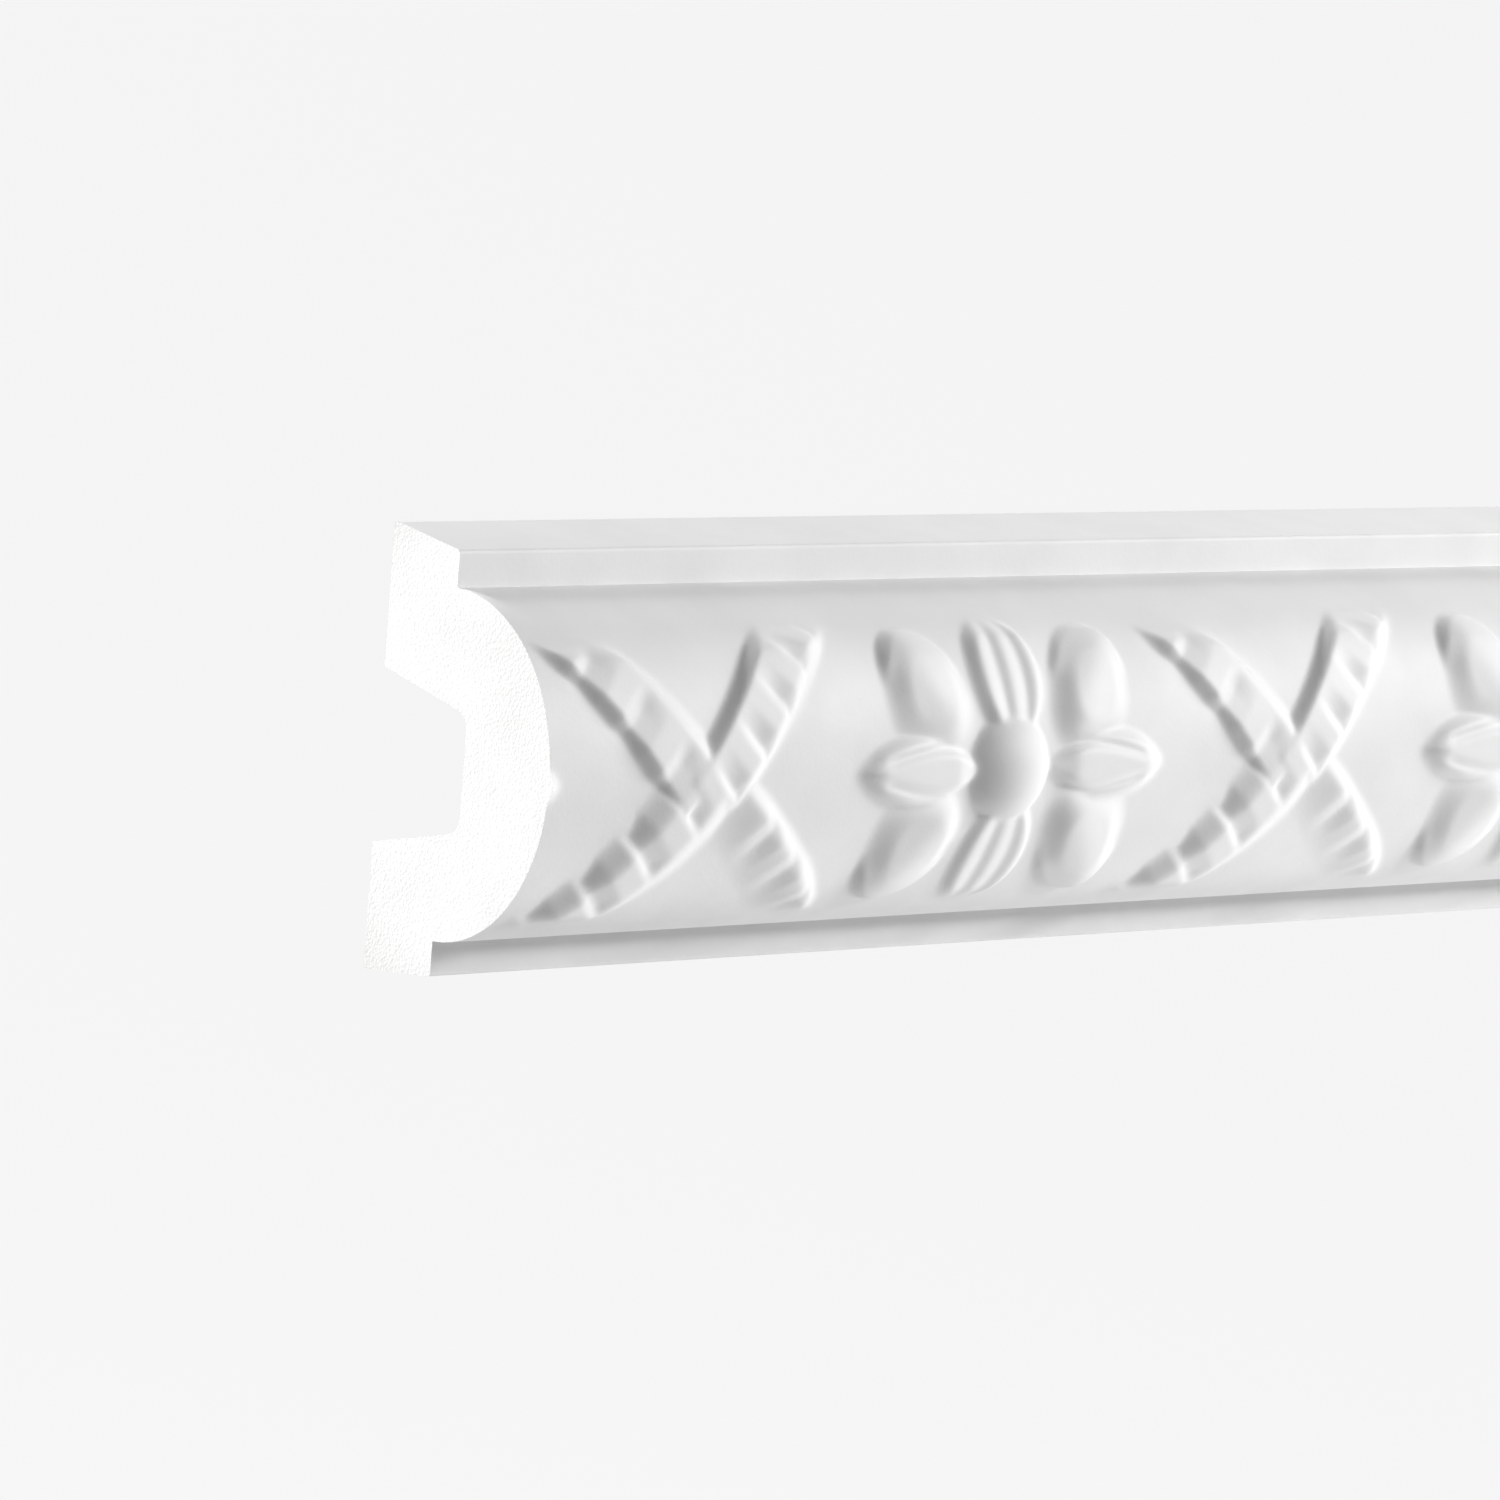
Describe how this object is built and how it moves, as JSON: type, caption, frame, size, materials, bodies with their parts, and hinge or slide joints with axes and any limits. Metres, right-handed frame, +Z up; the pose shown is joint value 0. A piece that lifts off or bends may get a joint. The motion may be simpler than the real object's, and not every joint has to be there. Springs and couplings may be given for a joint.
{
  "type": "carved chair rail moulding",
  "caption": "Sawn length of white carved chair rail: a half-round roll between plain fillets, with crossed ribbons and flowers in relief, and a cable channel in its back.",
  "frame": {"origin": "on the wall plane, at the middle of the lower glue land, half way along the rail", "axes": "+X along the rail, +Y into the wall, +Z up"},
  "size_m": [0.237, 0.037, 0.06],
  "materials": {
    "primed_foam": "smooth satin white primer over dense cast foam, sawn cells at both ends"
  },
  "bodies": {
    "root": {"carved_rail": "primed_foam"}
  },
  "joints": []
}
